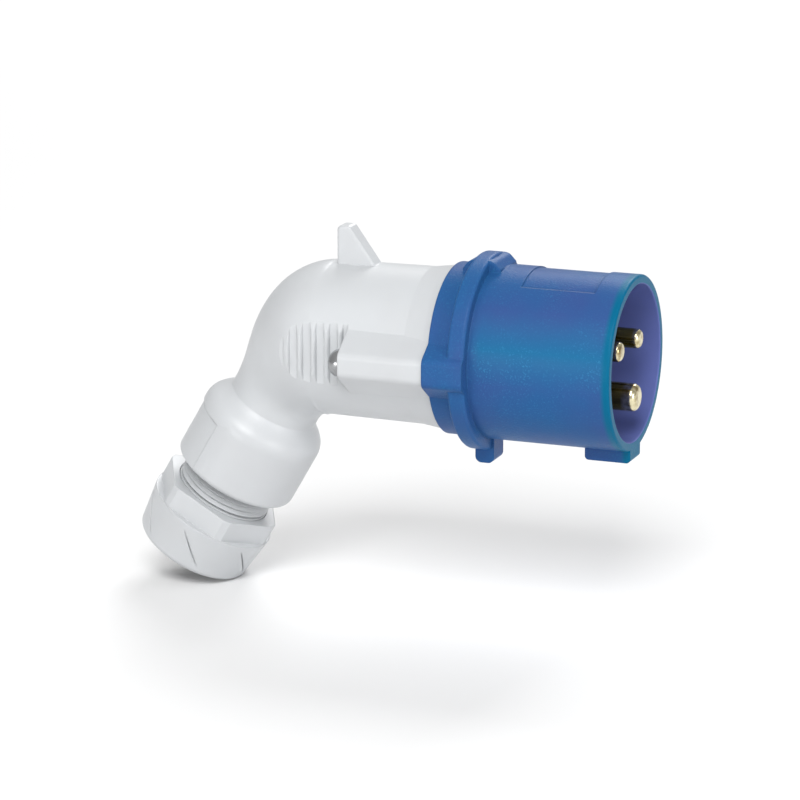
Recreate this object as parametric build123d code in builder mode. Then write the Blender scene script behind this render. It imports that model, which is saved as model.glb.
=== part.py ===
from build123d import *
from math import cos, pi, radians, sin
import os

# Angled industrial pin-and-sleeve plug, in millimetres.
# The origin is the centre of the flange's front face, where the plug seats in a socket.
# +X points out of the mouth, +Z points up, and the cable leg bends down in the XZ plane.

# Shroud and flange of the front body
shroud_diameter = 44.0
shroud_length = 36.5
shroud_wall = 2.3
rim_outer_round = 0.6
rim_inner_round = 0.3
flange_step = 2.85
flange_thickness = 4.5
flange_round = 0.8
rear_ring_diameter = 43.4
rear_ring_length = 6.0
rear_ring_wall = 2.0
base_front = 1.0
base_boss_radius = 3.0

# Key under the mouth, lugs on the flange and the bare marking recess on top
key_length = 11.8
key_width = 8.0
key_height = 2.7
key_round = 1.0
top_lug_foot = (-7.0, 2.9)
top_lug_crest = (-5.3, 0.9)
top_lug_width = 11.8
top_lug_height = 2.1
top_lug_round = 2.4
bottom_lug_foot = (-4.35, 0.6)
bottom_lug_width = 7.0
bottom_lug_height = 3.4
bottom_lug_round = 1.6
recess_start = 10.0
recess_length = 19.0
recess_width = 21.0
recess_depth = 0.35

# Screw lugs at both sides, shared by the front body and the housing
lug_reach = 26.0
lug_nose_half_width = 3.2
lug_root_reach = 15.0
lug_root_half_width = 10.6
lug_drop = 1.0
lug_nose_round = 2.2
boss_inset = 0.4
boss_end = -32.8

# Pins
pin_circle_diameter = 17.5
line_pin_diameter = 5.0
earth_pin_diameter = 7.0
line_pin_recess = 1.2
earth_pin_stand = 0.8
pin_tip_round_share = 0.45
pin_collar_rim = 1.5
pin_collar_thickness = 2.0
pin_clearance = 0.05
pin_root_step = 0.4
terminal_rim = 1.3
terminal_end = -21.0
wire_hole_diameter = 3.6
wire_hole_depth = 11.0

# Terminal screws, retainer and its screw, housing screws
terminal_screw_diameter = 3.0
terminal_screw_head_diameter = 4.6
terminal_screw_head_height = 1.6
terminal_screw_setback = 4.5
retainer_diameter = 33.6
retainer_thickness = 3.0
retainer_clearance = 0.1
retainer_screw_diameter = 2.9
retainer_screw_head_diameter = 5.4
retainer_screw_head_height = 1.9
retainer_screw_bite = 4.0
housing_screw_inset = 3.8
housing_screw_diameter = 3.5
housing_screw_head_diameter = 7.0
housing_screw_head_height = 3.2
housing_screw_bite = 6.5
screw_clearance = 0.05
slot_width = 0.9
slot_depth = 0.9
cross_length = 3.8
head_round_share = 0.8

# Housing: a tapered tube whose sections fan round a pivot below it
housing_mouth_radius = 20.9
housing_barrel_radius = 19.9
housing_barrel_from = -17.5
bend_start = -43.4
bend_start_radius = 19.6
bend_inner_radius = 6.5
bend_angle = 60.0
bend_steps = 6
neck_radius = 11.9
spigot_length = 5.0
spigot_clearance = 0.1
spigot_wall = 2.0
cavity_barrel_to = -31.0
cavity_bend_radius = 15.0
cavity_neck_radius = 8.8

# Fin on top of the housing
fin_back = -42.0
fin_front = -31.6
fin_crest_front = -38.6
fin_top = 29.3
fin_thickness = 5.0
fin_round = 1.2
fin_edge_round = 0.7

# Ribbed grip pads at both sides
pad_screw_gap = 0.7
pad_end = -62.0
pad_half_height = 15.0
rib_count = 6
rib_pitch = 3.62
rib_first = -34.9
rib_radius = 0.8

# Cable gland, measured along its own axis from the neck
neck_length = 1.5
neck_overlap = 1.5
neck_sink = 0.3
neck_lean = 0.35
bore_step = 0.15
collar_radius = 16.3
collar_from = 9.2
collar_end = 24.6
collar_round = 1.6
collar_panel_from = 9.8
collar_panel_depth = 0.4
collar_panel_edge = 6.6
thread_radius = 12.5
thread_depth = 1.0
thread_pitch = 1.5
thread_turns = 4
spigot_end = 40.4
seal_seat = 31.0
seal_radius = 10.0
seal_bore_radius = 6.5
seal_clearance = 0.1
seal_stand = 1.2
claw_length = 3.6
claw_radius = 11.4
claw_tip_radius = 10.2
claw_bore_radius = 7.8
claw_root_length = 1.2
claw_slots = 8
claw_slot_width = 1.4
nut_from = 30.9
nut_hex_length = 5.8
nut_across_flats = 29.0
nut_hex_sides = 6
nut_hex_turn = 30.0
nut_corner_radius = 16.2
nut_skirt_length = 12.2
nut_skirt_top_radius = 16.5
nut_skirt_end_radius = 15.0
nut_end_round = 1.6
nut_exit_radius = 8.5
nut_thread_clearance = 0.1
nut_claw_clearance = 0.2
nut_mark_count = 6
nut_mark_first = -77.5
nut_mark_along = 42.6
nut_mark_length = 11.6
nut_mark_width = 0.35
nut_mark_depth = 0.5
nut_mark_lean = 43.0

# Places worked out from the sizes above
shroud_radius = shroud_diameter / 2
flange_radius = shroud_radius + flange_step
rear_ring_radius = rear_ring_diameter / 2
rear_face = -flange_thickness - rear_ring_length
rear_cavity_radius = rear_ring_radius - rear_ring_wall
spigot_bore_radius = rear_cavity_radius - spigot_clearance - spigot_wall
base_rear = -flange_thickness
retainer_front = base_rear - pin_collar_thickness
retainer_rear = retainer_front - retainer_thickness
pin_circle_radius = pin_circle_diameter / 2
pivot_height = -bend_start_radius - bend_inner_radius
gland_direction = Vector(-cos(radians(bend_angle)), 0, -sin(radians(bend_angle)))
gland_inward = Vector(sin(radians(bend_angle)), 0, -cos(radians(bend_angle)))
neck_centre = Vector(bend_start, 0, pivot_height) - gland_inward * (bend_inner_radius + neck_radius)
gland_axis = Axis(neck_centre, gland_direction)
gland_section = Plane(neck_centre, x_dir=gland_inward, z_dir=(0, 1, 0))
nut_step = nut_from + nut_hex_length
nut_end = nut_step + nut_skirt_length
seal_end = spigot_end + seal_stand
claw_end = seal_end + claw_length
housing_screw_reach = lug_reach - housing_screw_inset
pad_offset = housing_screw_reach - housing_screw_head_diameter / 2 - pad_screw_gap
both_sides = (-1, 1)
full_turn = 360.0


def across(x):
    """Plane square to the plug's axis at x, with +Y and +Z as its own axes."""
    return Plane.YZ.offset(x)


def gland_across(along):
    """Plane square to the gland's axis, facing the cable's way out."""
    return Plane(neck_centre + gland_direction * along, x_dir=(0, 1, 0), z_dir=gland_direction)


def bend_section(turn, start_radius, end_radius):
    """Plane and radius of one section of the bend, eased from the barrel to the neck."""
    share = turn / bend_angle
    radius = end_radius + (start_radius - end_radius) * (1 + cos(pi * share)) / 2
    outer = neck_radius + (bend_start_radius - neck_radius) * (1 + cos(pi * share)) / 2
    travel = Vector(-cos(radians(turn)), 0, -sin(radians(turn)))
    outward = Vector(-sin(radians(turn)), 0, cos(radians(turn)))
    centre = Vector(bend_start, 0, pivot_height) + outward * (bend_inner_radius + outer)
    return Plane(centre, x_dir=outward, z_dir=travel), radius


def bend_sections(start_radius, end_radius):
    """Sections of the whole bend, one for each step of its angle, and the neck's straight end."""
    turns = [bend_angle * step / bend_steps for step in range(bend_steps + 1)]
    bend = [bend_section(turn, start_radius, end_radius) for turn in turns]
    neck_end = neck_centre + gland_direction * (neck_length + neck_overlap)
    return bend + [(Plane(neck_end, x_dir=-gland_inward, z_dir=gland_direction), end_radius)]


def lug_sketch(plane, side, inset):
    """Face of a screw lug: a trapezoid with a rounded nose, a little below the axis."""
    nose = side * (lug_reach - inset)
    root = side * lug_root_reach
    root_half = lug_root_half_width - inset
    nose_half = lug_nose_half_width - inset
    with BuildSketch(plane) as lug:
        with BuildLine():
            Polyline(
                (root, root_half - lug_drop),
                (nose, nose_half - lug_drop),
                (nose, -nose_half - lug_drop),
                (root, -root_half - lug_drop),
                close=True,
            )
        make_face()
        nose_corners = lug.vertices().group_by(Axis.X)[-1 if side > 0 else 0]
        fillet(nose_corners, lug_nose_round)
    return lug.sketch


def pin_place(clock):
    """Centre of a pin on the pin circle; clock is its angle from +Y towards +Z."""
    return (pin_circle_radius * cos(radians(clock)), pin_circle_radius * sin(radians(clock)))


line_clock = 150.0
neutral_clock = 30.0
earth_clock = 270.0
pins = {
    "line": (line_clock, line_pin_diameter / 2, shroud_length - line_pin_recess),
    "neutral": (neutral_clock, line_pin_diameter / 2, shroud_length - line_pin_recess),
    "earth": (earth_clock, earth_pin_diameter / 2, shroud_length + earth_pin_stand),
}


# Front body: shroud, flange, rear ring, lugs and the wall that carries the pins
with BuildPart() as front_body:
    with BuildSketch(across(0)):
        Circle(shroud_radius)
    extrude(amount=shroud_length)
    mouth_edge = front_body.edges().filter_by(GeomType.CIRCLE).sort_by(Axis.X)[-1]
    fillet(mouth_edge, rim_outer_round)
    with BuildSketch(across(-flange_thickness)):
        Circle(flange_radius)
    extrude(amount=flange_thickness)
    circles = front_body.edges().filter_by(GeomType.CIRCLE)
    fillet(circles.filter_by(lambda edge: edge.radius > shroud_radius), flange_round)
    with BuildSketch(across(rear_face)):
        Circle(rear_ring_radius)
    extrude(amount=rear_ring_length)
    for side in both_sides:
        extrude(lug_sketch(across(rear_face), side, 0), amount=-rear_face)
    # Lid-hook lug on top
    with BuildSketch(Plane.XZ.offset(-top_lug_width / 2)) as top_lug:
        with BuildLine():
            Polyline(
                (top_lug_foot[0], 0),
                (top_lug_foot[0], rear_ring_radius),
                (top_lug_crest[0], shroud_radius + top_lug_height),
                (top_lug_crest[1], shroud_radius + top_lug_height),
                (top_lug_foot[1], shroud_radius),
                (top_lug_foot[1], 0),
                close=True,
            )
        make_face()
        fillet(top_lug.vertices().group_by(Axis.Y)[-1], top_lug_round)
    extrude(amount=top_lug_width)
    # Stop lug underneath
    with BuildSketch(Plane.XZ.offset(-bottom_lug_width / 2)) as bottom_lug:
        with BuildLine():
            Polyline(
                (bottom_lug_foot[0], 0),
                (bottom_lug_foot[0], -flange_radius - bottom_lug_height),
                (bottom_lug_foot[1], -flange_radius - bottom_lug_height),
                (bottom_lug_foot[1], 0),
                close=True,
            )
        make_face()
        fillet(bottom_lug.vertices().group_by(Axis.Y)[0], bottom_lug_round)
    extrude(amount=bottom_lug_width)
    # Key under the mouth
    with BuildSketch(Plane.XZ.offset(-key_width / 2)) as key:
        with BuildLine():
            Polyline(
                (shroud_length - key_length, 0),
                (shroud_length - key_length, -shroud_radius - key_height),
                (shroud_length, -shroud_radius - key_height),
                (shroud_length, 0),
                close=True,
            )
        make_face()
        fillet(key.vertices().group_by(Axis.Y)[0], key_round)
    extrude(amount=key_width)
    # Hollow shroud and rear cavity
    with BuildSketch(across(base_front)):
        Circle(shroud_radius - shroud_wall)
    extrude(amount=shroud_length - base_front, mode=Mode.SUBTRACT)
    mouth_circles = front_body.edges().filter_by(GeomType.CIRCLE).group_by(Axis.X)[-1]
    fillet(mouth_circles.sort_by(SortBy.RADIUS)[0], rim_inner_round)
    with BuildSketch(across(rear_face)):
        Circle(rear_cavity_radius)
    extrude(amount=rear_ring_length, mode=Mode.SUBTRACT)
    # Boss for the retainer's screw
    with BuildSketch(across(retainer_front)):
        Circle(base_boss_radius)
    extrude(amount=pin_collar_thickness)
    with BuildSketch(across(retainer_front)):
        Circle(retainer_screw_diameter / 2 + screw_clearance)
    extrude(amount=retainer_screw_bite, mode=Mode.SUBTRACT)
    # Pin holes and pilot holes of the housing screws
    for clock, radius, reach in pins.values():
        with BuildSketch(across(base_rear)):
            with Locations(pin_place(clock)):
                Circle(radius + pin_root_step + pin_clearance)
        extrude(amount=base_front - base_rear, mode=Mode.SUBTRACT)
    with BuildSketch(across(rear_face)):
        with Locations((-housing_screw_reach, -lug_drop), (housing_screw_reach, -lug_drop)):
            Circle(housing_screw_diameter / 2 + screw_clearance)
    extrude(amount=housing_screw_bite, mode=Mode.SUBTRACT)
    # Bare marking recess on top of the shroud
    with BuildSketch(across(recess_start)):
        Circle(shroud_radius + recess_depth)
        Circle(shroud_radius - recess_depth, mode=Mode.SUBTRACT)
        with Locations((0, shroud_radius)):
            Rectangle(recess_width, shroud_radius, mode=Mode.INTERSECT)
    extrude(amount=recess_length, mode=Mode.SUBTRACT)
front_body.part.label = "front_body"


def pin_part(clock, radius, reach):
    """A turned pin with its root, collar and terminal barrel, the wire hole and the clamping hole."""
    y, z = pin_place(clock)
    root = radius + pin_root_step
    collar = radius + pin_collar_rim
    terminal = radius + terminal_rim
    axis = Axis((0, y, z), (1, 0, 0))
    profile = Plane((0, y, z), x_dir=(1, 0, 0), z_dir=(0, -1, 0))
    outward = Vector(0, cos(radians(clock)), sin(radians(clock)))
    screw_x = terminal_end + terminal_screw_setback
    with BuildPart() as pin:
        with BuildSketch(profile) as turned:
            with BuildLine():
                Polyline(
                    (reach, 0),
                    (reach, radius),
                    (base_front, radius),
                    (base_front, root),
                    (base_rear, root),
                    (base_rear, collar),
                    (retainer_front, collar),
                    (retainer_front, terminal),
                    (terminal_end, terminal),
                    (terminal_end, 0),
                    close=True,
                )
            make_face()
            tip_corner = turned.vertices().group_by(Axis.X)[-1].sort_by(Axis.Y)[-1]
            fillet(tip_corner, radius * pin_tip_round_share)
        revolve(axis=axis)
        with BuildSketch(Plane((terminal_end, y, z), x_dir=(0, 1, 0), z_dir=(1, 0, 0))):
            Circle(wire_hole_diameter / 2)
        extrude(amount=wire_hole_depth, mode=Mode.SUBTRACT)
        with BuildSketch(Plane((screw_x, y, z), x_dir=(1, 0, 0), z_dir=outward)):
            Circle(terminal_screw_diameter / 2 + screw_clearance)
        extrude(amount=collar, mode=Mode.SUBTRACT)
    return pin.part


def pan_screw(plane, shank, head, head_height, length, crossed):
    """A pan-head screw, crossed or slotted; plane sits under its head and faces its point."""
    with BuildPart() as screw:
        with BuildSketch(plane):
            Circle(shank / 2)
        extrude(amount=length)
        with BuildSketch(plane):
            Circle(head / 2)
        extrude(amount=-head_height)
        head_rim = screw.edges().filter_by(GeomType.CIRCLE).sort_by(Axis(plane.origin, plane.z_dir))[0]
        fillet(head_rim, head_height * head_round_share)
        with BuildSketch(plane.offset(-head_height)):
            if crossed:
                Rectangle(slot_width, cross_length)
                Rectangle(cross_length, slot_width)
            else:
                Rectangle(slot_width, head)
        extrude(amount=slot_depth, mode=Mode.SUBTRACT)
    return screw.part


def terminal_screw(clock, radius):
    """The wire clamping screw of one pin, driven from outside towards the pin's own axis."""
    y, z = pin_place(clock)
    outward = Vector(0, cos(radians(clock)), sin(radians(clock)))
    seat = radius + terminal_rim + screw_clearance
    under_head = Vector(terminal_end + terminal_screw_setback, y, z) + outward * seat
    place = Plane(under_head, x_dir=(1, 0, 0), z_dir=-outward)
    return pan_screw(
        place,
        terminal_screw_diameter,
        terminal_screw_head_diameter,
        terminal_screw_head_height,
        seat,
        crossed=False,
    )


# Retainer plate behind the pin collars
with BuildPart() as pin_retainer:
    with BuildSketch(across(retainer_rear)):
        Circle(retainer_diameter / 2)
        Circle(retainer_screw_diameter / 2 + screw_clearance, mode=Mode.SUBTRACT)
        for clock, radius, reach in pins.values():
            with Locations(pin_place(clock)):
                Circle(radius + terminal_rim + retainer_clearance, mode=Mode.SUBTRACT)
    extrude(amount=retainer_thickness)
pin_retainer.part.label = "pin_retainer"

# Fin with softened edges, joined to the housing below
with BuildPart() as fin:
    with BuildSketch(Plane.XZ.offset(-fin_thickness / 2)) as fin_side:
        with BuildLine():
            Polyline(
                (fin_back, 0),
                (fin_back, fin_top),
                (fin_crest_front, fin_top),
                (fin_front, bend_start_radius),
                (fin_front, 0),
                close=True,
            )
        make_face()
        fillet(fin_side.vertices().group_by(Axis.Y)[-1], fin_round)
    extrude(amount=fin_thickness)
    fillet(fin.faces().filter_by(Axis.Y).edges(), fin_edge_round)

# Housing: bent shell with bosses, fin, grip pads and the gland's collar and spigot
with BuildPart() as angled_housing:
    with BuildSketch(Plane.XZ):
        with BuildLine():
            Polyline(
                (bend_start, 0),
                (bend_start, bend_start_radius),
                (housing_barrel_from, housing_barrel_radius),
                (rear_face, housing_mouth_radius),
                (rear_face, 0),
                close=True,
            )
        make_face()
    revolve(axis=Axis.X)
    for plane, radius in bend_sections(bend_start_radius, neck_radius):
        with BuildSketch(plane):
            Circle(radius)
    loft()
    # Gland collar and threaded spigot
    with BuildSketch(gland_section) as gland_profile:
        with BuildLine():
            Line((0, neck_length), (neck_radius - neck_sink, neck_length))
            Spline(
                (neck_radius - neck_sink, neck_length),
                (collar_radius, collar_from),
                tangents=((neck_lean, 1), (0, 1)),
            )
            Polyline(
                (collar_radius, collar_from),
                (collar_radius, collar_end),
                (thread_radius - thread_depth, collar_end),
            )
            thread_start = (thread_radius - thread_depth, collar_end)
            for turn in range(thread_turns):
                root = collar_end + turn * thread_pitch
                crest = (thread_radius, root + thread_pitch / 2)
                thread_end = (thread_radius - thread_depth, root + thread_pitch)
                Polyline(thread_start, crest, thread_end)
                thread_start = thread_end
            Polyline(
                thread_start,
                (thread_radius, thread_start[1]),
                (thread_radius, spigot_end),
                (0, spigot_end),
                (0, neck_length),
            )
        make_face()
        collar_corner = gland_profile.vertices().group_by(Axis.X)[-1].sort_by(Axis.Y)[-1]
        fillet(collar_corner, collar_round)
    revolve(axis=gland_axis)
    # Screw bosses at both sides
    for side in both_sides:
        extrude(lug_sketch(across(boss_end), side, boss_inset), amount=rear_face - boss_end)
    add(fin.part)
    # Grip pads with upright ribs
    for side in both_sides:
        with BuildSketch(Plane.XY.offset(-pad_half_height)):
            with Locations(((boss_end + pad_end) / 2, side * (pad_offset + lug_reach) / 2)):
                Rectangle(boss_end - pad_end, lug_reach - pad_offset)
            for rib in range(rib_count):
                with Locations((rib_first - rib * rib_pitch, side * pad_offset)):
                    Circle(rib_radius, mode=Mode.SUBTRACT)
        extrude(amount=2 * pad_half_height, mode=Mode.SUBTRACT)
    # Spigot that enters the front body
    with BuildSketch(across(rear_face)):
        Circle(rear_cavity_radius - spigot_clearance)
    extrude(amount=spigot_length)
    # Cavity, cable bore and seal seat
    with BuildSketch(Plane.XZ):
        with BuildLine():
            Polyline(
                (bend_start, 0),
                (bend_start, cavity_bend_radius),
                (cavity_barrel_to, spigot_bore_radius),
                (rear_face + spigot_length, spigot_bore_radius),
                (rear_face + spigot_length, 0),
                close=True,
            )
        make_face()
    revolve(axis=Axis.X, mode=Mode.SUBTRACT)
    for plane, radius in bend_sections(cavity_bend_radius, cavity_neck_radius):
        with BuildSketch(plane):
            Circle(radius)
    loft(mode=Mode.SUBTRACT)
    with BuildSketch(gland_across(neck_length)):
        Circle(cavity_neck_radius + bore_step)
    extrude(amount=spigot_end - neck_length, mode=Mode.SUBTRACT)
    with BuildSketch(gland_across(seal_seat)):
        Circle(seal_radius)
    extrude(amount=spigot_end - seal_seat, mode=Mode.SUBTRACT)
    # Through holes of the housing screws
    with BuildSketch(across(boss_end)):
        with Locations((-housing_screw_reach, -lug_drop), (housing_screw_reach, -lug_drop)):
            Circle(housing_screw_diameter / 2 + screw_clearance)
    extrude(amount=rear_face - boss_end + housing_screw_bite, mode=Mode.SUBTRACT)
    # Shallow panel on the outer side of the collar
    with BuildSketch(gland_across(collar_panel_from)):
        Circle(collar_radius + collar_panel_depth)
        Circle(collar_radius - collar_panel_depth, mode=Mode.SUBTRACT)
        with Locations((0, -collar_panel_edge - collar_radius / 2)):
            Rectangle(2 * (collar_radius + collar_panel_depth), collar_radius, mode=Mode.INTERSECT)
    extrude(amount=collar_end - collar_panel_from, mode=Mode.SUBTRACT)
angled_housing.part.label = "angled_housing"

# Housing screws, one each side
housing_screws = [
    pan_screw(
        Plane((boss_end, side * housing_screw_reach, -lug_drop), x_dir=(0, 1, 0), z_dir=(1, 0, 0)),
        housing_screw_diameter,
        housing_screw_head_diameter,
        housing_screw_head_height,
        rear_face - boss_end + housing_screw_bite,
        crossed=True,
    )
    for side in both_sides
]

# Rubber seal in the spigot's end
with BuildPart() as gland_seal:
    with BuildSketch(gland_section):
        with BuildLine():
            Polyline(
                (seal_bore_radius, seal_seat),
                (seal_radius - seal_clearance, seal_seat),
                (seal_radius - seal_clearance, seal_end),
                (seal_bore_radius, seal_end),
                close=True,
            )
        make_face()
    revolve(axis=gland_axis)
gland_seal.part.label = "gland_seal"

# Slotted gripping ring between the seal and the nut
with BuildPart() as gland_claw:
    with BuildSketch(gland_section):
        with BuildLine():
            Polyline(
                (claw_bore_radius, seal_end),
                (claw_radius, seal_end),
                (claw_tip_radius, claw_end),
                (claw_bore_radius, claw_end),
                close=True,
            )
        make_face()
    revolve(axis=gland_axis)
    with BuildSketch(gland_across(seal_end + claw_root_length)):
        with PolarLocations(claw_radius, claw_slots):
            Rectangle(claw_radius, claw_slot_width)
    extrude(amount=claw_length, mode=Mode.SUBTRACT)
gland_claw.part.label = "gland_claw"


def skirt_tangent(turn):
    """Plane touching the nut's skirt; turn runs from the bend's inner side towards +Y."""
    radial = gland_inward * cos(radians(turn)) + Vector(0, 1, 0) * sin(radians(turn))
    taper = (nut_skirt_end_radius - nut_skirt_top_radius) / nut_skirt_length
    radius = nut_skirt_top_radius + taper * (nut_mark_along - nut_step)
    touch = neck_centre + gland_direction * nut_mark_along + radial * radius
    return Plane(touch, x_dir=gland_direction + radial * taper, z_dir=radial - gland_direction * taper)


# Clamping nut: hexagon, tapered skirt, threaded bore and cable exit
with BuildPart() as gland_nut:
    with BuildSketch(gland_across(nut_from)):
        RegularPolygon(nut_across_flats / 2, nut_hex_sides, major_radius=False, rotation=nut_hex_turn)
        Circle(nut_corner_radius, mode=Mode.INTERSECT)
    extrude(amount=nut_hex_length)
    with BuildSketch(gland_section) as skirt:
        with BuildLine():
            Polyline(
                (0, nut_step),
                (nut_skirt_top_radius, nut_step),
                (nut_skirt_end_radius, nut_end),
                (0, nut_end),
                close=True,
            )
        make_face()
        fillet(skirt.vertices().group_by(Axis.Y)[-1].sort_by(Axis.X)[-1], nut_end_round)
    revolve(axis=gland_axis)
    with BuildSketch(gland_section):
        with BuildLine():
            Polyline(
                (0, nut_from),
                (thread_radius + nut_thread_clearance, nut_from),
                (thread_radius + nut_thread_clearance, seal_end),
                (claw_radius + nut_claw_clearance, seal_end),
                (claw_tip_radius + nut_claw_clearance, claw_end),
                (nut_exit_radius, claw_end),
                (nut_exit_radius, nut_end),
                (0, nut_end),
                close=True,
            )
        make_face()
    revolve(axis=gland_axis, mode=Mode.SUBTRACT)
    # Slanted grip lines round the skirt
    for mark in range(nut_mark_count):
        with BuildSketch(skirt_tangent(nut_mark_first + mark * full_turn / nut_mark_count)):
            Rectangle(nut_mark_length, nut_mark_width, rotation=nut_mark_lean)
        extrude(amount=nut_mark_depth, both=True, mode=Mode.SUBTRACT)
gland_nut.part.label = "gland_nut"

pieces = {
    "front_body": front_body.part,
    "pin_retainer": pin_retainer.part,
    "angled_housing": angled_housing.part,
    "gland_seal": gland_seal.part,
    "gland_claw": gland_claw.part,
    "gland_nut": gland_nut.part,
    "housing_screws": Compound(children=housing_screws),
    "retainer_screw": pan_screw(
        across(retainer_rear),
        retainer_screw_diameter,
        retainer_screw_head_diameter,
        retainer_screw_head_height,
        retainer_thickness + retainer_screw_bite,
        crossed=False,
    ),
}
for name, (clock, radius, reach) in pins.items():
    pieces[name + "_pin"] = pin_part(clock, radius, reach)
    pieces[name + "_terminal_screw"] = terminal_screw(clock, radius)

os.makedirs("parts", exist_ok=True)
for name, piece in pieces.items():
    piece.label = name
    export_step(piece, "parts/" + name + ".step")
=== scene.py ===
import bpy
from mathutils import Matrix, Vector


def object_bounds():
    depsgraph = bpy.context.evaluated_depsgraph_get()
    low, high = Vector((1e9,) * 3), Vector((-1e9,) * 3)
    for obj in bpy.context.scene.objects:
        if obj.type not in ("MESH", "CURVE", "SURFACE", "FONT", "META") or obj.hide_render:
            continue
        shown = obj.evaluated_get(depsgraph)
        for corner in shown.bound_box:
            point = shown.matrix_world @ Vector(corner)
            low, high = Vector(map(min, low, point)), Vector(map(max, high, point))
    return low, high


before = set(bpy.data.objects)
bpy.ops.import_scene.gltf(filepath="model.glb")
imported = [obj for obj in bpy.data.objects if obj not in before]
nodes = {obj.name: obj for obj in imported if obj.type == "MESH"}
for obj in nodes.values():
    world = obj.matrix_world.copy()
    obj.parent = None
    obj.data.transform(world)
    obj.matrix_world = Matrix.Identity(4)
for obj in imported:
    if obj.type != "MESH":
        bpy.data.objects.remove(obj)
cad_low, cad_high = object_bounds()

# Camera, as the photograph sees the plug: its place and axes, then its lens and sensor in millimetres
CAMERA_PLACE = Vector((0.3303, -0.9280, 0.2365))
CAMERA_RIGHT = Vector((0.9336, 0.3584, 0.0))
CAMERA_UP = Vector((-0.0879, 0.2290, 0.9694))
CAMERA_BACK = Vector((0.3474, -0.9050, 0.2453))
CAMERA_LENS = 182.5
SENSOR_WIDTH = 36.0
CLIP_START = 0.01
CLIP_END = 50.0

# Studio: the paper floor, the sky and the point that the lamps look at
FLOOR_SIZE = 12.0
FLOOR_GREY = (0.76, 0.76, 0.76, 1.0)
FLOOR_ROUGHNESS = 0.9
FLOOR_SPECULAR = 0.1
SKY_WHITE = (1.0, 1.0, 1.0, 1.0)
SKY_STRENGTH = 0.51
PLUG_MIDDLE = (-0.02, 0.0, -0.01)
BACKDROP_MIDDLE = (-0.3, 1.4, -0.08)

# Colours of the mouldings and metals, in linear light
SHELL_BLUE = (0.016, 0.089, 0.243, 1.0)
SHELL_BLUE_DEEP = (0.031, 0.071, 0.222, 1.0)
# Blue's colour for edge rubbing, and for the painted glints on its grain
SHELL_BLUE_RUBBED_AND_GLINT = (0.040, 0.260, 0.460, 1.0)
# Painted highlight: the lighter teal band at mid height of the shroud
SHELL_BLUE_HIGHLIGHT = (0.007, 0.121, 0.256, 1.0)
SHELL_RIM = (0.000, 0.108, 0.210, 1.0)
# Painted light: the lighter, more violet tone inside the hollow of the shroud
SHELL_INSIDE_LIT = (0.108, 0.138, 0.370, 1.0)
HOUSING_WHITE = (0.494, 0.510, 0.525, 1.0)
HOUSING_WHITE_DEEP = (0.464, 0.475, 0.488, 1.0)
HOUSING_WHITE_RUBBED = (0.640, 0.650, 0.660, 1.0)
INSERT_GREY = (0.090, 0.095, 0.105, 1.0)
INSERT_GREY_DEEP = (0.060, 0.063, 0.070, 1.0)
INSERT_GREY_RUBBED = (0.150, 0.155, 0.160, 1.0)
SEAL_BLACK = (0.012, 0.012, 0.012, 1.0)
SEAL_BLACK_DEEP = (0.007, 0.007, 0.007, 1.0)
SEAL_BLACK_RUBBED = (0.030, 0.030, 0.030, 1.0)
BRASS_BRIGHT = (0.640, 0.500, 0.110, 1.0)
BRASS_DULL = (0.450, 0.345, 0.075, 1.0)
BRASS_RUBBED = (0.700, 0.600, 0.300, 1.0)
BRASS_STREAK = (0.340, 0.255, 0.065, 1.0)
# Painted highlight on the pin tips, broken by noise into pale and dull patches
BRASS_TIP_HIGHLIGHT = (0.760, 0.690, 0.460, 1.0)
BRASS_TIP_HIGHLIGHT_DULL = (0.320, 0.240, 0.110, 1.0)
ZINC_BRIGHT = (0.540, 0.550, 0.560, 1.0)
ZINC_DULL = (0.200, 0.205, 0.210, 1.0)
ZINC_RUBBED = (0.850, 0.850, 0.850, 1.0)

# Surface grain of each kind of piece: how fine, how broken, how deep in metres, how strong, and how
# much painted glint its peaks carry
COARSE_GRAIN = {"scale": 2300.0, "patchiness": 0.8, "depth": 0.00014, "strength": 0.6, "painted_glint": 0.16}
FINE_GRAIN = {"scale": 2600.0, "patchiness": 0.4, "depth": 0.00005, "strength": 0.15, "painted_glint": 0.0}
TURNED_GRAIN = {"scale": 3200.0, "patchiness": 0.3, "depth": 0.00003, "strength": 0.12, "painted_glint": 0.0}

# Noise patterns: how fine, how detailed, and the span of values that goes from none to all
GRAIN_DETAIL = 3.0
# Grain values that go from no painted glint to a full one
PAINTED_GLINT_SPAN = (0.56, 0.68)
PATCH_SCALE = 60.0
PATCH_DETAIL = 2.0
PATCH_SPAN = (0.42, 0.62)
DRIFT_SCALE = 35.0
DRIFT_DETAIL = 3.0
DRIFT_SPAN = (0.35, 0.65)
BROKEN_SCALE = 420.0
BROKEN_DETAIL = 4.0
BROKEN_SPAN = (0.38, 0.66)
SMEAR_SCALE = 90.0
SMEAR_DETAIL = 5.0
SMEAR_MIDDLE = 0.5
STREAK_STRETCH = (0.04, 1.0, 1.0)
STREAK_SCALE = 900.0
STREAK_DETAIL = 3.0
STREAK_SPAN = (0.40, 0.62)
SMUDGE_SCALE = 520.0
SMUDGE_DETAIL = 3.0
SMUDGE_SPAN = (0.42, 0.66)

# Soft edges: samples of the rounding, and the turn of the normal that goes from none to all
EDGE_SAMPLES = 6
EDGE_SPAN = (0.04, 0.30)

# The hollow that the pins stand in: its radius, and where its floor is
INSIDE_REACH = 0.0199
INSIDE_FROM = 0.0005

# The painted highlight band at mid height of the shroud, with painted glints in it: its middle, its
# reach and where it starts
BAND_HEIGHT = 0.0055
BAND_REACH = 0.0090
BAND_START = (-0.0010, 0.0030)
BAND_SHARE = 0.85
BAND_PAINTED_GLINT = 0.75

# Along the plug's axis: where the mouth's rim begins, and where the painted highlight on the pins'
# tips begins
RIM_SPAN = (0.0340, 0.0352)
TIP_SPAN = (0.0334, 0.0344)


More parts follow.
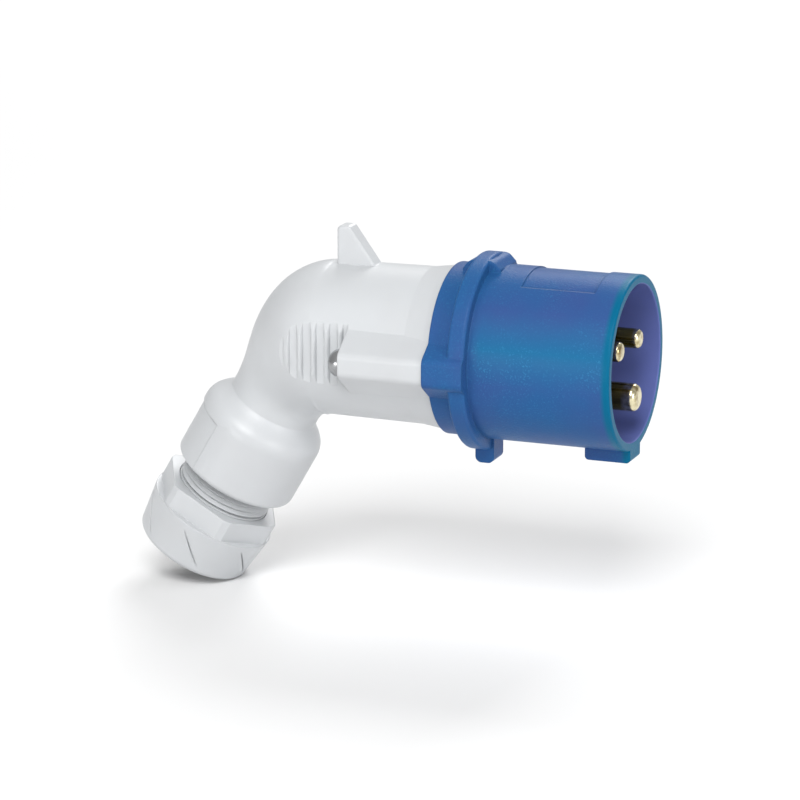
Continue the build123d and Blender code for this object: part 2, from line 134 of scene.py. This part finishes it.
def node_group(name, inputs, outputs):
    """A shader node group with plain number, colour or vector sockets."""
    group = bpy.data.node_groups.new(name, "ShaderNodeTree")
    for label, kind, value in inputs:
        socket = group.interface.new_socket(label, in_out="INPUT", socket_type=kind)
        socket.default_value = value
    for label, kind in outputs:
        group.interface.new_socket(label, in_out="OUTPUT", socket_type=kind)
    entry = group.nodes.new("NodeGroupInput")
    leave = group.nodes.new("NodeGroupOutput")
    return group, entry, leave


def placed(tree, group):
    """A node group placed in a material's tree."""
    node = tree.nodes.new("ShaderNodeGroup")
    node.node_tree = group
    return node


def math_node(tree, operation, first, second):
    """A math node whose two inputs are sockets or numbers; returns its output."""
    node = tree.nodes.new("ShaderNodeMath")
    node.operation = operation
    for place, value in enumerate((first, second)):
        if isinstance(value, (int, float)):
            node.inputs[place].default_value = value
        else:
            tree.links.new(value, node.inputs[place])
    return node.outputs[0]


def noise_node(tree, vector, scale, detail):
    """A noise texture on the given coordinates; returns its value."""
    node = tree.nodes.new("ShaderNodeTexNoise")
    node.inputs["Detail"].default_value = detail
    tree.links.new(vector, node.inputs["Vector"])
    if isinstance(scale, (int, float)):
        node.inputs["Scale"].default_value = scale
    else:
        tree.links.new(scale, node.inputs["Scale"])
    return node.outputs["Fac"]


def span_node(tree, value, low, high):
    """Stretches a value so that low gives 0 and high gives 1, held at both ends."""
    node = tree.nodes.new("ShaderNodeMapRange")
    node.inputs["From Min"].default_value = low
    node.inputs["From Max"].default_value = high
    tree.links.new(value, node.inputs["Value"])
    return node.outputs["Result"]


def blend_node(tree, share, first, second):
    """Mixes two colours, given as sockets or plain values, by a share."""
    node = tree.nodes.new("ShaderNodeMix")
    node.data_type = "RGBA"
    tree.links.new(share, node.inputs["Factor"])
    for label, colour in (("A", first), ("B", second)):
        if isinstance(colour, tuple):
            node.inputs[label].default_value = colour
        else:
            tree.links.new(colour, node.inputs[label])
    return node.outputs["Result"]


def object_place(tree):
    """A point's place in the plug's own frame."""
    return tree.nodes.new("ShaderNodeTexCoord").outputs["Object"]


def object_axes(tree):
    """The X, Y and Z of a point in the plug's own frame."""
    apart = tree.nodes.new("ShaderNodeSeparateXYZ")
    tree.links.new(object_place(tree), apart.inputs[0])
    return apart.outputs


def make_mould_grain():
    """Fine spark-eroded grain of a moulding, with patches where it is smoothed flat, and a mask of its
    peaks where glints are painted.
    """
    group, entry, leave = node_group(
        "mould_grain",
        [("Scale", "NodeSocketFloat", 2200.0), ("Patchiness", "NodeSocketFloat", 0.5)],
        [("Height", "NodeSocketFloat"), ("Painted_glint", "NodeSocketFloat")],
    )
    place = object_place(group)
    grain = noise_node(group, place, entry.outputs["Scale"], GRAIN_DETAIL)
    patch = span_node(group, noise_node(group, place, PATCH_SCALE, PATCH_DETAIL), *PATCH_SPAN)
    patch = math_node(group, "MULTIPLY", patch, entry.outputs["Patchiness"])
    keep = math_node(group, "SUBTRACT", 1.0, patch)
    height = math_node(group, "MULTIPLY", grain, keep)
    painted_glint = math_node(group, "MULTIPLY", span_node(group, grain, *PAINTED_GLINT_SPAN), keep)
    group.links.new(height, leave.inputs["Height"])
    group.links.new(painted_glint, leave.inputs["Painted_glint"])
    return group


def make_soft_edge():
    """Rounded normals at a moulding's edges, and a mask of those edges."""
    group, entry, leave = node_group(
        "soft_edge",
        [("Radius", "NodeSocketFloat", 0.0004)],
        [("Normal", "NodeSocketVector"), ("Edge", "NodeSocketFloat")],
    )
    bevel = group.nodes.new("ShaderNodeBevel")
    bevel.samples = EDGE_SAMPLES
    group.links.new(entry.outputs["Radius"], bevel.inputs["Radius"])
    geometry = group.nodes.new("ShaderNodeNewGeometry")
    likeness = group.nodes.new("ShaderNodeVectorMath")
    likeness.operation = "DOT_PRODUCT"
    group.links.new(bevel.outputs["Normal"], likeness.inputs[0])
    group.links.new(geometry.outputs["Normal"], likeness.inputs[1])
    turn = math_node(group, "SUBTRACT", 1.0, likeness.outputs["Value"])
    group.links.new(bevel.outputs["Normal"], leave.inputs["Normal"])
    group.links.new(span_node(group, turn, *EDGE_SPAN), leave.inputs["Edge"])
    return group


def make_handling():
    """Slow colour drift, light rubbing along the edges, painted glints in the same colour, and faint
    smears in the gloss.
    """
    group, entry, leave = node_group(
        "handling",
        [
            ("Colour", "NodeSocketColor", (0.5, 0.5, 0.5, 1.0)),
            ("Deep", "NodeSocketColor", (0.4, 0.4, 0.4, 1.0)),
            ("Rubbed_and_glint", "NodeSocketColor", (0.7, 0.7, 0.7, 1.0)),
            ("Edge", "NodeSocketFloat", 0.0),
            ("Painted_glint", "NodeSocketFloat", 0.0),
            ("Roughness", "NodeSocketFloat", 0.4),
            ("Smear", "NodeSocketFloat", 0.08),
        ],
        [("Colour", "NodeSocketColor"), ("Roughness", "NodeSocketFloat")],
    )
    place = object_place(group)
    drift = span_node(group, noise_node(group, place, DRIFT_SCALE, DRIFT_DETAIL), *DRIFT_SPAN)
    drifted = blend_node(group, drift, entry.outputs["Colour"], entry.outputs["Deep"])
    broken = span_node(group, noise_node(group, place, BROKEN_SCALE, BROKEN_DETAIL), *BROKEN_SPAN)
    rubbed_and_glint = math_node(group, "MULTIPLY", entry.outputs["Edge"], broken)
    # painted glints: bright dots on the grain's peaks, mixed in with the rubbing's colour
    rubbed_and_glint = math_node(group, "MAXIMUM", rubbed_and_glint, entry.outputs["Painted_glint"])
    colour = blend_node(group, rubbed_and_glint, drifted, entry.outputs["Rubbed_and_glint"])
    smear = noise_node(group, place, SMEAR_SCALE, SMEAR_DETAIL)
    smear = math_node(group, "SUBTRACT", smear, SMEAR_MIDDLE)
    smear = math_node(group, "MULTIPLY", smear, entry.outputs["Smear"])
    roughness = math_node(group, "ADD", entry.outputs["Roughness"], smear)
    group.links.new(colour, leave.inputs["Colour"])
    group.links.new(roughness, leave.inputs["Roughness"])
    return group


MOULD_GRAIN = make_mould_grain()
SOFT_EDGE = make_soft_edge()
HANDLING = make_handling()


def finish_material(name, colours, roughness, smear, edge_radius, rub, grain):
    """A principled material that wears the shared effects; returns it with its shader."""
    material = bpy.data.materials.new(name)
    material.use_nodes = True
    tree = material.node_tree
    shader = tree.nodes["Principled BSDF"]
    soft = placed(tree, SOFT_EDGE)
    soft.inputs["Radius"].default_value = edge_radius
    cover = placed(tree, HANDLING)
    for label, colour in zip(("Colour", "Deep", "Rubbed_and_glint"), colours):
        cover.inputs[label].default_value = colour
    cover.inputs["Roughness"].default_value = roughness
    cover.inputs["Smear"].default_value = smear
    tree.links.new(math_node(tree, "MULTIPLY", soft.outputs["Edge"], rub), cover.inputs["Edge"])
    bump = tree.nodes.new("ShaderNodeBump")
    bump.inputs["Distance"].default_value = grain["depth"]
    bump.inputs["Strength"].default_value = grain["strength"]
    texture = placed(tree, MOULD_GRAIN)
    texture.name = "grain"
    texture.inputs["Scale"].default_value = grain["scale"]
    texture.inputs["Patchiness"].default_value = grain["patchiness"]
    # painted glints on the grain's peaks, as strong as the grain asks
    painted_glint = math_node(tree, "MULTIPLY", texture.outputs["Painted_glint"], grain["painted_glint"])
    tree.links.new(painted_glint, cover.inputs["Painted_glint"])
    tree.links.new(texture.outputs["Height"], bump.inputs["Height"])
    tree.links.new(soft.outputs["Normal"], bump.inputs["Normal"])
    tree.links.new(bump.outputs["Normal"], shader.inputs["Normal"])
    tree.links.new(cover.outputs["Colour"], shader.inputs["Base Color"])
    tree.links.new(cover.outputs["Roughness"], shader.inputs["Roughness"])
    return material, shader


def inside_shroud(tree):
    """A mask of the hollow that the pins stand in, from the plug's own axis."""
    axes = object_axes(tree)
    across = math_node(tree, "MULTIPLY", axes["Y"], axes["Y"])
    upward = math_node(tree, "MULTIPLY", axes["Z"], axes["Z"])
    reach = math_node(tree, "SQRT", math_node(tree, "ADD", across, upward), 0.0)
    within = math_node(tree, "LESS_THAN", reach, INSIDE_REACH)
    ahead = math_node(tree, "GREATER_THAN", axes["X"], INSIDE_FROM)
    return math_node(tree, "MULTIPLY", within, ahead)


def painted_highlight_band(tree):
    """A mask of the painted highlight band at mid height of the shroud, strongest at its middle."""
    axes = object_axes(tree)
    height = math_node(tree, "SUBTRACT", axes["Z"], BAND_HEIGHT)
    upright = span_node(tree, math_node(tree, "ABSOLUTE", height, 0.0), BAND_REACH, 0.0)
    return math_node(tree, "MULTIPLY", upright, span_node(tree, axes["X"], *BAND_START))


def drawn_streaks(tree):
    """Streaks that run along the pins, as on drawn and turned bar."""
    stretch = tree.nodes.new("ShaderNodeMapping")
    stretch.inputs["Scale"].default_value = STREAK_STRETCH
    tree.links.new(object_place(tree), stretch.inputs["Vector"])
    streak = noise_node(tree, stretch.outputs["Vector"], STREAK_SCALE, STREAK_DETAIL)
    return span_node(tree, streak, *STREAK_SPAN)


def make_blue_plastic():
    """The grained shell: a painted highlight band with painted glints, teal at the rim, and inside
    smoother with a lighter, more violet tone that is painted light.
    """
    material, shader = finish_material(
        "blue_plastic",
        (SHELL_BLUE, SHELL_BLUE_DEEP, SHELL_BLUE_RUBBED_AND_GLINT),
        roughness=0.36,
        smear=0.16,
        edge_radius=0.0005,
        rub=0.25,
        grain=COARSE_GRAIN,
    )
    shader.inputs["Specular IOR Level"].default_value = 0.08
    tree = material.node_tree
    inside = inside_shroud(tree)
    band = painted_highlight_band(tree)
    # painted highlight band at mid height, and painted glints on the grain within it
    highlight_share = math_node(tree, "MULTIPLY", band, BAND_SHARE)
    painted_glint = math_node(tree, "MULTIPLY", tree.nodes["grain"].outputs["Painted_glint"], band)
    painted_glint = math_node(tree, "MULTIPLY", painted_glint, BAND_PAINTED_GLINT)
    rim = span_node(tree, object_axes(tree)["X"], *RIM_SPAN)
    tone = shader.inputs["Base Color"].links[0].from_socket
    tone = blend_node(tree, highlight_share, tone, SHELL_BLUE_HIGHLIGHT)
    tone = blend_node(tree, painted_glint, tone, SHELL_BLUE_RUBBED_AND_GLINT)
    tone = blend_node(tree, rim, tone, SHELL_RIM)
    # painted light: the hollow takes a lighter, more violet tone
    tone = blend_node(tree, inside, tone, SHELL_INSIDE_LIT)
    tree.links.new(tone, shader.inputs["Base Color"])
    bump = shader.inputs["Normal"].links[0].from_node
    height = bump.inputs["Height"].links[0].from_socket
    outside = math_node(tree, "SUBTRACT", 1.0, inside)
    tree.links.new(math_node(tree, "MULTIPLY", height, outside), bump.inputs["Height"])
    return material


def make_white_plastic():
    """The satin housing and nut."""
    material, shader = finish_material(
        "white_plastic",
        (HOUSING_WHITE, HOUSING_WHITE_DEEP, HOUSING_WHITE_RUBBED),
        roughness=0.36,
        smear=0.14,
        edge_radius=0.0005,
        rub=0.5,
        grain=FINE_GRAIN,
    )
    shader.inputs["Specular IOR Level"].default_value = 0.45
    return material


def make_grey_plastic():
    """The matte pieces held inside."""
    material, shader = finish_material(
        "grey_plastic",
        (INSERT_GREY, INSERT_GREY_DEEP, INSERT_GREY_RUBBED),
        roughness=0.5,
        smear=0.12,
        edge_radius=0.0003,
        rub=0.4,
        grain=FINE_GRAIN,
    )
    return material


def make_seal_rubber():
    """The black sleeve in the gland."""
    material, shader = finish_material(
        "seal_rubber",
        (SEAL_BLACK, SEAL_BLACK_DEEP, SEAL_BLACK_RUBBED),
        roughness=0.7,
        smear=0.1,
        edge_radius=0.0004,
        rub=0.3,
        grain=FINE_GRAIN,
    )
    return material


def make_turned_brass():
    """The pins: streaked along their length, with a painted highlight on their tips that noise breaks
    up.
    """
    material, shader = finish_material(
        "turned_brass",
        (BRASS_BRIGHT, BRASS_DULL, BRASS_RUBBED),
        roughness=0.22,
        smear=0.12,
        edge_radius=0.0003,
        rub=0.4,
        grain=TURNED_GRAIN,
    )
    shader.inputs["Metallic"].default_value = 1.0
    tree = material.node_tree
    tone = shader.inputs["Base Color"].links[0].from_socket
    streaked = blend_node(tree, drawn_streaks(tree), tone, BRASS_STREAK)
    # painted highlight on the pin tips, pale and dull by noise
    smudge = noise_node(tree, object_place(tree), SMUDGE_SCALE, SMUDGE_DETAIL)
    painted_tip_highlight = blend_node(tree, span_node(tree, smudge, *SMUDGE_SPAN), BRASS_TIP_HIGHLIGHT, BRASS_TIP_HIGHLIGHT_DULL)
    tip = span_node(tree, object_axes(tree)["X"], *TIP_SPAN)
    tree.links.new(blend_node(tree, tip, streaked, painted_tip_highlight), shader.inputs["Base Color"])
    return material


def make_zinc_plate():
    """The bright plated screws."""
    material, shader = finish_material(
        "zinc_plate",
        (ZINC_BRIGHT, ZINC_DULL, ZINC_RUBBED),
        roughness=0.24,
        smear=0.14,
        edge_radius=0.0002,
        rub=0.5,
        grain=TURNED_GRAIN,
    )
    shader.inputs["Metallic"].default_value = 1.0
    return material


FINISHES = (
    (make_blue_plastic(), ("front_body",)),
    (make_white_plastic(), ("angled_housing", "gland_nut")),
    (make_grey_plastic(), ("pin_retainer", "gland_claw")),
    (make_seal_rubber(), ("gland_seal",)),
    (make_turned_brass(), ("line_pin", "neutral_pin", "earth_pin")),
    (
        make_zinc_plate(),
        (
            "line_terminal_screw",
            "neutral_terminal_screw",
            "earth_terminal_screw",
            "retainer_screw",
            "housing_screws",
        ),
    ),
)
for finish, names in FINISHES:
    for name in names:
        for slot in nodes[name].material_slots:
            slot.material = finish


def lay_floor():
    """Pale paper under the plug."""
    bpy.ops.mesh.primitive_plane_add(size=FLOOR_SIZE, location=(0.0, 0.0, cad_low.z))
    floor = bpy.context.object
    floor.name = "studio_floor"
    material = bpy.data.materials.new("studio_paper")
    material.use_nodes = True
    shader = material.node_tree.nodes["Principled BSDF"]
    shader.inputs["Base Color"].default_value = FLOOR_GREY
    shader.inputs["Roughness"].default_value = FLOOR_ROUGHNESS
    shader.inputs["Specular IOR Level"].default_value = FLOOR_SPECULAR
    floor.data.materials.append(material)


def soft_box(name, place, target, size, power):
    """A square studio lamp at a place, turned to a target."""
    lamp = bpy.data.lights.new(name, "AREA")
    lamp.shape = "SQUARE"
    lamp.size = size
    lamp.energy = power
    holder = bpy.data.objects.new(name, lamp)
    bpy.context.scene.collection.objects.link(holder)
    holder.location = place
    holder.rotation_mode = "QUATERNION"
    holder.rotation_quaternion = (Vector(target) - Vector(place)).to_track_quat("-Z", "Y")


def light_sky():
    """Even white light from all round."""
    world = bpy.context.scene.world or bpy.data.worlds.new("studio")
    bpy.context.scene.world = world
    world.use_nodes = True
    sky = world.node_tree.nodes["Background"]
    sky.inputs["Color"].default_value = SKY_WHITE
    sky.inputs["Strength"].default_value = SKY_STRENGTH
    bpy.context.scene.view_settings.view_transform = "Standard"


def set_camera():
    """The camera, at the photograph's viewing angle."""
    lens = bpy.data.cameras.new("photo_camera")
    lens.sensor_width = SENSOR_WIDTH
    lens.lens = CAMERA_LENS
    lens.clip_start = CLIP_START
    lens.clip_end = CLIP_END
    camera = bpy.data.objects.new("photo_camera", lens)
    bpy.context.scene.collection.objects.link(camera)
    turn = Matrix((CAMERA_RIGHT, CAMERA_UP, CAMERA_BACK)).transposed()
    camera.matrix_world = Matrix.Translation(CAMERA_PLACE) @ turn.to_4x4()
    bpy.context.scene.camera = camera


lay_floor()
soft_box("key_lamp", place=(0.25, -1.2, 1.2), target=PLUG_MIDDLE, size=0.8, power=22.0)
soft_box("mouth_lamp", place=(1.4, -0.7, 0.35), target=PLUG_MIDDLE, size=0.6, power=8.0)
soft_box("side_lamp", place=(-0.5, -1.25, 0.05), target=PLUG_MIDDLE, size=0.3, power=3.0)
soft_box("back_lamp", place=(-0.2, 2.6, 2.0), target=BACKDROP_MIDDLE, size=1.6, power=70.0)
light_sky()
set_camera()
